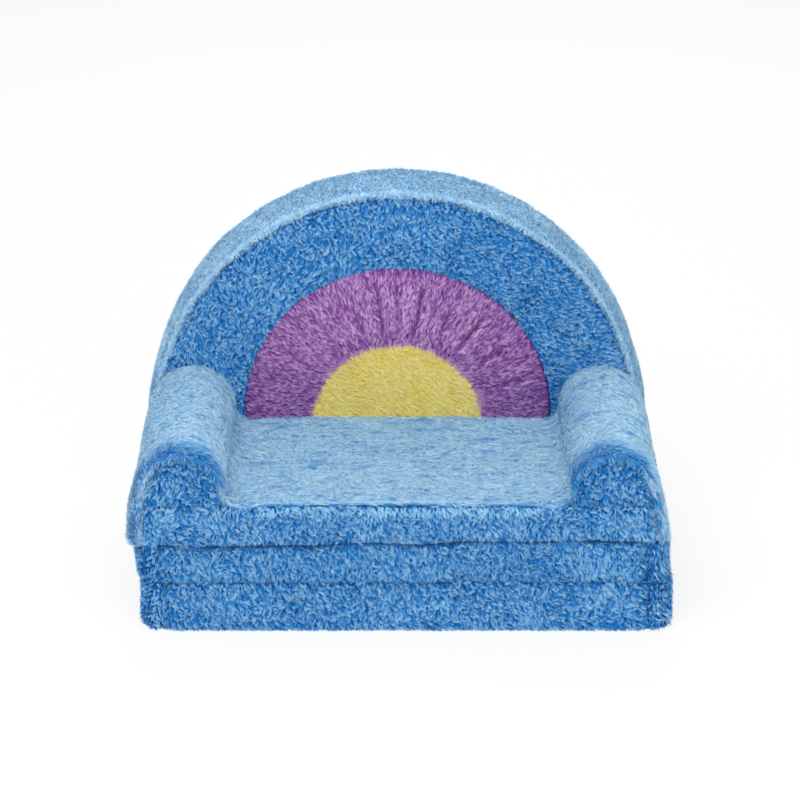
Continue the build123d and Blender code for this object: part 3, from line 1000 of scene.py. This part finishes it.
def patches(place):
    """Share of patches where the pile lies pressed down."""
    return smooth((noise(place, 46.0, 60) + 0.3 * noise(place, 15.0, 61) - 0.18) / 0.3)


def hem_fringe(place, border):
    """Pressed patches, lighter as painted sheen, and longer pile along the lower edge, a little
    darker there as painted shade.
    """
    low = smooth(1 - border[:, 0] / 12.0)
    flat = patches(place)
    longer = 1 + (0.35 + 0.3 * noise(place, 9.0, 52)) * low
    return 4.0 * low + 18.0 * flat, 0.1 * flat - 0.05 * low, longer


def side_corner(place, border):
    """Short pile beside the front corner seams, darkened by painted shade."""
    away = np.hypot(np.abs(place[:, 0]) - half_width + CORNER_RADIUS - 4, place[:, 1] - front_y - 5)
    near = smooth(1 - away / 13.0)
    return 0.0, -0.6 * near, 1 - 0.5 * near


def wrap_edge(place, border):
    """Pile that stands up over the arms' fronts with less painted sheen, and painted shade for the
    dark line of the seat's front seam.
    """
    rise = smooth((place[:, 2] - seat_top - 8) / 30.0)
    side = smooth((np.abs(place[:, 0]) - arm_x - 0.45 * arm_radius) / 22.0)
    depth = place[:, 1] - front_y + 10.0 * noise(place, 30.0, 50)
    near = smooth(1 - (depth - 4) / 60.0) * np.maximum(rise, side)
    inside = smooth((HOLLOW_EDGE - np.abs(place[:, 0])) / 10)
    line = smooth((9.5 + 2.2 * noise(place, 16.0, 53) - border[:, 0]) / 2.5) * inside
    behind = smooth(1 - np.abs(border[:, 0] - 18.0) / 9.0) * inside
    patchy = 0.22 * noise(place, 9.0, 54)
    # Less painted sheen where the pile stands up, kept on the outer sides; painted shade on the
    # seam's line and a faint band behind it
    tone = (-0.6 + 0.52 * side + patchy) * near - 1.1 * line - 0.1 * behind
    return -38.0 * near, tone, (1 + 0.35 * near) * (1 - 0.55 * line)


def strip_fringe(place, border):
    """Painted shadow in the gap and painted highlight on the fringe under the seat's front seam,
    painted shade by the seam beside the arms, and pressed patches lighter as painted sheen.
    """
    off = border[:, 1]
    inside = smooth((HOLLOW_EDGE - np.abs(place[:, 0])) / 12)
    # Painted shadow in the gap under the seat's front seam
    gap = smooth((8.0 + 2.0 * noise(place, 14.0, 55) - off) / 3.0) * inside
    # Painted highlight on the fringe below it
    painted_light = smooth(1 - (off - 12.0) / 8.0) * inside * (1 - gap)
    # Painted shade by the seam beside the arms
    sewn = smooth(1 - off / 5.0) * (1 - inside)
    low = smooth(1 - border[:, 0] / 7.0)
    ragged = 0.35 + 0.4 * noise(place, 14.0, 51) + 0.7 * smooth(2 * noise(place, 38.0, 56))
    longer = 1 + 0.1 * painted_light + ragged * low
    flat = patches(place) * (1 - painted_light)
    tone = 0.6 * painted_light + 0.1 * flat - 0.4 * sewn - 0.7 * gap
    return 16.0 * painted_light + 6.0 * low + 18.0 * flat, tone, longer * (1 - 0.45 * sewn) * (1 - 0.7 * gap)


def cap_press(place, border):
    """Smooth pressed band along the upper inner rim of the left arm's front, lighter as painted
    sheen, with a darker line inside it.
    """
    angle = np.degrees(np.arctan2(place[:, 2] - arm_z, place[:, 0] + arm_x))
    along = smooth((angle + 12) / 16) * smooth((78 - angle) / 18)
    pressed_flat = along * smooth(1 - np.abs(border[:, 0] - 8.0) / 6.5)
    inner = along * smooth(1 - np.abs(border[:, 0] - 16.0) / 4.0)
    return 30.0 * pressed_flat, 0.3 * pressed_flat - 0.25 * inner, 1 - 0.3 * pressed_flat


def hinge_fringe(place, border):
    """Pressed patches, lighter as painted sheen, and pile that stands out along the upper edge,
    over the sewn hinge, darker there as painted shade.
    """
    high = smooth(1 - border[:, 1] / 7.0)
    flat = patches(place) * (1 - high)
    return 18.0 * flat - 34.0 * high, 0.1 * flat - 0.1 * high, 1 + 0.15 * high


def folded(place, border):
    """Painted shade in the valleys and painted highlight on the ridges of the pull folds, strands
    over the inner edge, a little lighter, and darker pile along the outer edge.
    """
    fold = fold_depth(place[:, 0], place[:, 2])
    inner = smooth(1 - border[:, 0] / 9.0)
    outer = smooth(1 - border[:, 1] / 7.0)
    tone = np.clip(-0.12 * fold, -0.5, 0.4) + 0.1 * inner - 0.2 * outer
    return 16.0 * inner, tone, 1 + 0.6 * inner


def face_shade(place, border):
    """Painted shade in the valleys and painted highlight on the ridges of the pull folds, and
    painted shadow in a groove along the right rim.
    """
    fold = fold_depth(place[:, 0], place[:, 2])
    angle = np.degrees(np.arctan2(place[:, 2] - back_z, place[:, 0]))
    right = smooth((angle - 5) / 12) * smooth((70 - angle) / 14)
    groove = 0.3 * right * smooth(1 - border[:, 1] / 26.0)
    return 0.0, np.clip(-0.08 * fold, -0.35, 0.25) - groove, 1.0


# Shares of the plan outline between which the front panel lies
outline_length = 4 * (half_width + half_depth) - (8 - 2 * math.pi) * CORNER_RADIUS
quarter = math.pi * CORNER_RADIUS / 2
front_share = (half_width + 2 * half_depth - 3 * CORNER_RADIUS + 2 * quarter) / outline_length


def flat_cushion_panels(name, low, high, body, seed, hem=False, top_draw=None):
    """Front and side panels of one flat cushion."""
    front = wall_sheet(low, high, front_share, 1 - front_share, hem, top_draw)
    left = wall_sheet(low, high, 0.0, front_share, hem)
    right = wall_sheet(low, high, 1 - front_share, 1.0, hem)
    front, left, right = (crease(grid, 1.8, 55.0, seed) for grid in (front, left, right))
    edge = (dict(vary=hem_fringe, seams=(1, 2, 3)) if hem
            else dict(vary=hinge_fringe, seams=(0, 2, 3), edges=(1,)))
    panel(f"{name}_front", [front], body, [f"{name}_front_panel"], seed=seed, tone=0.44,
          **front_pile, **edge)
    panel(f"{name}_sides", [left, right], body, [f"{name}_side_boxing"], seed=seed + 1,
          density=0.4, length=10.0, width=0.6, lie=40.0, comb=(0, -0.3, -1), tone=0.6,
          vary=side_corner, seams=(0, 1))


# Gaps between a cushion's faces and its panels, plush panels and linings
PANEL_GAP, PLUSH_GAP, LINING_GAP = 0.5, 4.5, 0.3
HEM_LIFT, BASE_LIFT = 0.8, 0.2
seam_edge = PILE_DEPTH + SEAM_DRAW
front_pile = dict(density=1.2, lie=46.0, tuft=3.4, comb=(0.35, 0, -1))
flat_cushion_panels("bottom", HEM_LIFT, bottom_top - PANEL_GAP, BOTTOM, 10, hem=True)
flat_cushion_panels("middle", middle_base + PANEL_GAP, middle_top - PANEL_GAP, MIDDLE, 14,
                    top_draw=HINGE_DRAW)
pressed = dict(density=0.2, length=8.0, width=0.8, lie=72.0, comb=(0, -1, 0), tone=0.55)
panel("bottom_top", [flat_sheet(bottom_top - PLUSH_GAP, seam_edge + 1, True)], BOTTOM,
      ["bottom_top_panel"], seed=18, ceiling=bottom_top + 5, **pressed)
panel("middle_underside", [flat_sheet(middle_base + PLUSH_GAP, seam_edge + 1, False)], MIDDLE,
      ["middle_bottom_panel"], seed=19, **pressed)


linings = (
    ("bottom_base", (BASE_LIFT, PILE_DEPTH + HEM_DRAW, False), BOTTOM, "bottom_base_lining"),
    ("middle_lining", (middle_top - LINING_GAP, seam_edge, True), MIDDLE, "middle_top_lining"),
    ("seat_lining", (seat_base + LINING_GAP, seam_edge, False), SEAT, "seat_base_lining"),
)
for name, form, body, node in linings:
    look, slot = "dark_lining", "dark_lining"
    if body == BOTTOM:
        look, slot = "base_cloth", "non_slip_base"
    skin_object(name, [flat_sheet(*form)], woven[look], body, [node])

# The wrap's pile takes the lighter look and a high tone, painted sheen of pile brushed flat
wrap_pile = dict(lie=81.0, comb=round_the_seat, wander=0.3, clump=0.18, tone=0.86, gap=0.15,
                 tone_range=0.22, length=10.0, jitter=0.12, streaks=0.55, swirl=0.15, painted_light=True)
panel("seat_wrap_cover", [crease(wrap_sheet(), 2.0, 80.0, 20)], SEAT, ["seat_wrap"], seed=20,
      density=0.52, seams=(0,), vary=wrap_edge, **wrap_pile)
panel("seat_wrap_ends", [wrap_rear_sheet(1), wrap_rear_sheet(-1)], SEAT, ["seat_wrap"], seed=22,
      density=0.5, **wrap_pile)
panel("seat_front", [crease(strip_sheet(), 1.8, 55.0, 24)], SEAT, ["seat_front_panel"], seed=24,
      tone=0.48, vary=strip_fringe, seams=(2, 3), edges=(0,), **front_pile)
for side, label in ((-1, "left"), (1, "right")):
    panel(f"arm_front_{label}", [cap_sheet(side)], SEAT, [f"arm_cap_{label}"], seed=26 + side,
          density=1.2, lie=38.0, tuft=3.6, comb=(0.3, 0, -1), tone=0.42,
          vary=cap_press if side < 0 else None, seams=(0,))

low_edge = seat_top - 4
yellow_line = (yellow_radius, yellow_z)
purple_line = (purple_radius, purple_z)
rim_line = (face_edge, back_z)
panel("face_yellow", [band_sheet((4.0, low_edge + 5), yellow_line, 40, low_edge)], SEAT,
      ["back_face_yellow"], "yellow", seed=30, density=0.85, lie=74.0, comb=(0.9, 0, -0.5),
      wander=0.35, tone=0.48, clump=0.2, tuft=3.4, jitter=0.12, length=8.0, streaks=0.3,
      swirl=0.25, gap=0.3, tone_range=0.3)
panel("face_purple", [band_sheet(yellow_line, purple_line, 40, low_edge)], SEAT,
      ["back_face_purple"], "purple", seed=32, density=1.1, lie=56.0, comb=inwards, wander=40.0,
      tone=0.42, tuft=3.4, swirl=50.0, length=9.5, tone_range=0.55, vary=folded)
panel("face_blue", [band_sheet(purple_line, rim_line, 46, low_edge)], SEAT,
      ["back_face_blue"], seed=34, density=1.1, lie=48.0, tuft=3.5, comb=sideways, tone=0.39,
      vary=face_shade, seams=(1,))
# The gusset's pile takes the lighter look and a high tone, painted sheen of pile brushed flat
panel("gusset_cover", [crease(gusset_sheet(), 1.8, 70.0, 36)], SEAT, ["back_gusset"], seed=36,
      density=0.7, lie=62.0, comb=(0, -0.6, -0.5), tone=0.8, tone_range=0.26, length=10.0,
      clump=0.35, swirl=0.4, gap=0.3, painted_light=True, seams=(1,))
panel("rear_cover", [crease(rear_sheet(), 2.0, 110.0, 38)], SEAT, ["back_rear_panel"], seed=38,
      density=0.4, width=0.6, lie=50.0, comb=(0, 0, -1), tone=0.46, seams=(0,))


def foam_copy(node, body):
    """Foam block of the frame, drawn in from its cover and settled with its cushion."""
    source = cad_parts[node].data
    points = np.array([v.co for v in source.vertices], float) / MM
    low, high = points.min(0), points.max(0)
    middle, half = (low + high) / 2, (high - low) / 2
    points = middle + (points - middle) * (1 - FOAM_SLACK / half)
    faces = [tuple(p.vertices) for p in source.polygons]
    made = mesh_object(f"{node}_block", settle(points), faces)
    dress(made, woven["foam_look"], body, [node])


FOAM_SLACK = np.array([4.5, 4.5, 0.5])
for node, body in (("seat_foam", SEAT), ("arm_foam_left", SEAT), ("arm_foam_right", SEAT),
                   ("back_foam", SEAT), ("middle_foam", MIDDLE), ("bottom_foam", BOTTOM)):
    foam_copy(node, body)

# Hinge strips and zips

BLOCK_CORNERS = np.array([(x, y, z) for z in (-0.5, 0.5) for x, y in
                          ((-0.5, -0.5), (0.5, -0.5), (0.5, 0.5), (-0.5, 0.5))])
BLOCK_FACES = np.array([(0, 3, 2, 1), (4, 5, 6, 7), (0, 1, 5, 4), (1, 2, 6, 5), (2, 3, 7, 6),
                        (3, 0, 4, 7)])


def blocks(name, centres, size, taper=1.0):
    """Many small blocks in one object, narrower at their rear end."""
    corners = BLOCK_CORNERS * size
    corners[BLOCK_CORNERS[:, 1] > 0] *= (taper, 1, taper)
    vertices = (np.asarray(centres)[:, None] + corners).reshape(-1, 3)
    faces = (np.arange(len(centres))[:, None, None] * 8 + BLOCK_FACES).reshape(-1, 4)
    return mesh_object(name, vertices, faces.tolist())


STITCH_STEP = 5.0
STITCH_SIZE = (3.2, 0.7, 0.24)
STITCH_EDGE = 3.5


def hinge_strip(node, body, material):
    """Woven strip of a sewn hinge, with a row of stitches along each edge."""
    low, high = node_box(node)
    up = 1 if "lower" in node else -1
    face = high[2] if up > 0 else low[2]
    x = np.linspace(low[0], high[0], 171)
    rows = []
    width = high[1] - low[1]
    for across in np.r_[0, 0.4, 1.2, np.linspace(4, width - 4, 9), width - 1.2, width - 0.4, width]:
        z = face - up * float(roll(min(across, width - across), 0.5, 1.2))
        rows.append(np.c_[x, np.full(len(x), low[1] + across), np.full(len(x), z)])
    skin_object(f"{node}_strip", [sheet(rows, (0, 0, up))], material, body, [node])
    along = np.arange(low[0] + STITCH_STEP, high[0] - STITCH_STEP, STITCH_STEP)
    centres = [(x, y, face + up * 0.02) for y in (low[1] + STITCH_EDGE, high[1] - STITCH_EDGE)
               for x in along]
    made = blocks(f"{node}_stitches", settle(np.array(centres)), STITCH_SIZE)
    dress(made, woven["thread_look"], body)


ZIP_REACH = 210.0
ZIP_TAPE = 1.0
TOOTH_STEP = 0.8
TOOTH_SIZE = (0.62, 1.7, 3.0)
STOP_SIZE = (4.0, 3.0, 5.0)


def zip_strip(name, body):
    """Zip tape with fine ribs, its coil as rows of teeth from both sides, and the end stops."""
    low, high = node_box(f"{name}_zip_tape")
    middle = (low[2] + high[2]) / 2
    top = low[1] + ZIP_TAPE
    x = np.linspace(low[0], high[0], 89)
    rows = []
    for z in np.linspace(low[2], high[2], 49):
        rib = 0.12 * (math.cos(2 * math.pi * (z - middle) / 3) - 1)
        rows.append(at_depth(np.c_[x, np.full(len(x), z)], top + rib))
    skin_object(f"{name}_zip_strip", [sheet(rows, (0, 1, 0))], woven["zip_look"], body,
                [f"{name}_zip_tape"], place=np.copy)
    along = np.arange(-ZIP_REACH, ZIP_REACH, TOOTH_STEP)
    side = np.where(np.arange(len(along)) % 2, 0.95, -0.95)
    centres = np.c_[along, np.full(len(along), top + TOOTH_SIZE[1] / 2), middle + side]
    teeth = blocks(f"{name}_zip_teeth", centres, TOOTH_SIZE, 0.75)
    dress(teeth, woven["teeth_look"], body)
    ends = [(end * (ZIP_REACH + STOP_SIZE[0] / 2), top + STOP_SIZE[1] / 2, middle)
            for end in (-1, 1)]
    dress(blocks(f"{name}_zip_stops", ends, STOP_SIZE, 0.85), slider_look, body)


# The front hinges take the dark tape look, painted shade of their seam
for node, body, look in (("front_hinge_upper", SEAT, "tape"), ("front_hinge_lower", MIDDLE, "tape"),
                         ("rear_hinge_upper", MIDDLE, "hinge"),
                         ("rear_hinge_lower", BOTTOM, "hinge")):
    hinge_strip(f"{node}_leaf", body, woven[f"{look}_look"])
for name, body in (("bottom", BOTTOM), ("middle", MIDDLE), ("seat", SEAT)):
    zip_strip(name, body)
    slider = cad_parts[f"{name}_zip_slider"]
    slider.data.materials.clear()
    slider.data.materials.append(slider_look)


# Stage

WHITE = (1, 1, 1, 1)
WORLD_STRENGTH = 0.55
FLOOR_REACH = 9000
# Lamps: place and aim in metres, length of a side, and power
LAMPS = {
    "key": ((-0.8, -1.6, 3.0), (0, 0, 0.2), 2.4, 70),
    "fill": ((1.6, -2.6, 1.6), (0, 0, 0.25), 2.6, 26),
    "back": ((0.2, 2.4, 2.4), (0, 0, 0.3), 2.4, 30),
}
for name, (place, aim, size, power) in LAMPS.items():
    lamp = bpy.data.lights.new(name, "AREA")
    lamp.shape = "SQUARE"
    lamp.size = size
    lamp.energy = power
    made = link_object(name, lamp)
    made.location = place
    made.rotation_euler = (Vector(aim) - Vector(place)).to_track_quat("-Z", "Y").to_euler()

world = bpy.data.worlds.new("world")
bpy.context.scene.world = world
world.use_nodes = True
tree = world.node_tree
lit = tree.nodes["Background"]
feed(tree, lit, {"Color": WHITE, "Strength": WORLD_STRENGTH})
seen = add_node(tree, "Background", {"Color": WHITE, "Strength": 1.0})
by_camera = add_node(tree, "LightPath").outputs["Is Camera Ray"]
blend = add_node(tree, "MixShader", {"Fac": by_camera, 1: lit.outputs["Background"],
                                     2: seen.outputs["Background"]})
feed(tree, tree.nodes["World Output"], {"Surface": blend.outputs["Shader"]})


def floor_material():
    """White floor that keeps a faint shadow."""
    material, tree, shader = new_material("floor")
    feed(tree, shader, {"Base Color": (0.9, 0.9, 0.9, 1), "Roughness": 0.9})
    glow = add_node(tree, "Emission").outputs["Emission"]
    by_camera = add_node(tree, "LightPath").outputs["Is Camera Ray"]
    share = add_node(tree, "Math", {0: by_camera, 1: 0.8}, operation="MULTIPLY").outputs["Value"]
    blend = add_node(tree, "MixShader", {"Fac": share, 1: shader.outputs["BSDF"], 2: glow})
    feed(tree, tree.nodes["Material Output"], {"Surface": blend.outputs["Shader"]})
    return material


corners = [(x * FLOOR_REACH, y * FLOOR_REACH, 0) for x, y in ((-1, -1), (1, -1), (1, 1), (-1, 1))]
floor = mesh_object("floor", corners, [(0, 1, 2, 3)])
floor.data.materials.append(floor_material())

camera = link_object("camera", bpy.data.cameras.new("camera"))
camera.location = [c * MM for c in CAMERA_PLACE]
camera.rotation_euler = Euler((math.radians(90 - CAMERA_PITCH), 0, 0))
camera.data.sensor_width = 36.0
camera.data.lens = CAMERA_LENS
camera.data.clip_end = 100.0
bpy.context.scene.camera = camera
bpy.context.scene.view_settings.view_transform = "Standard"
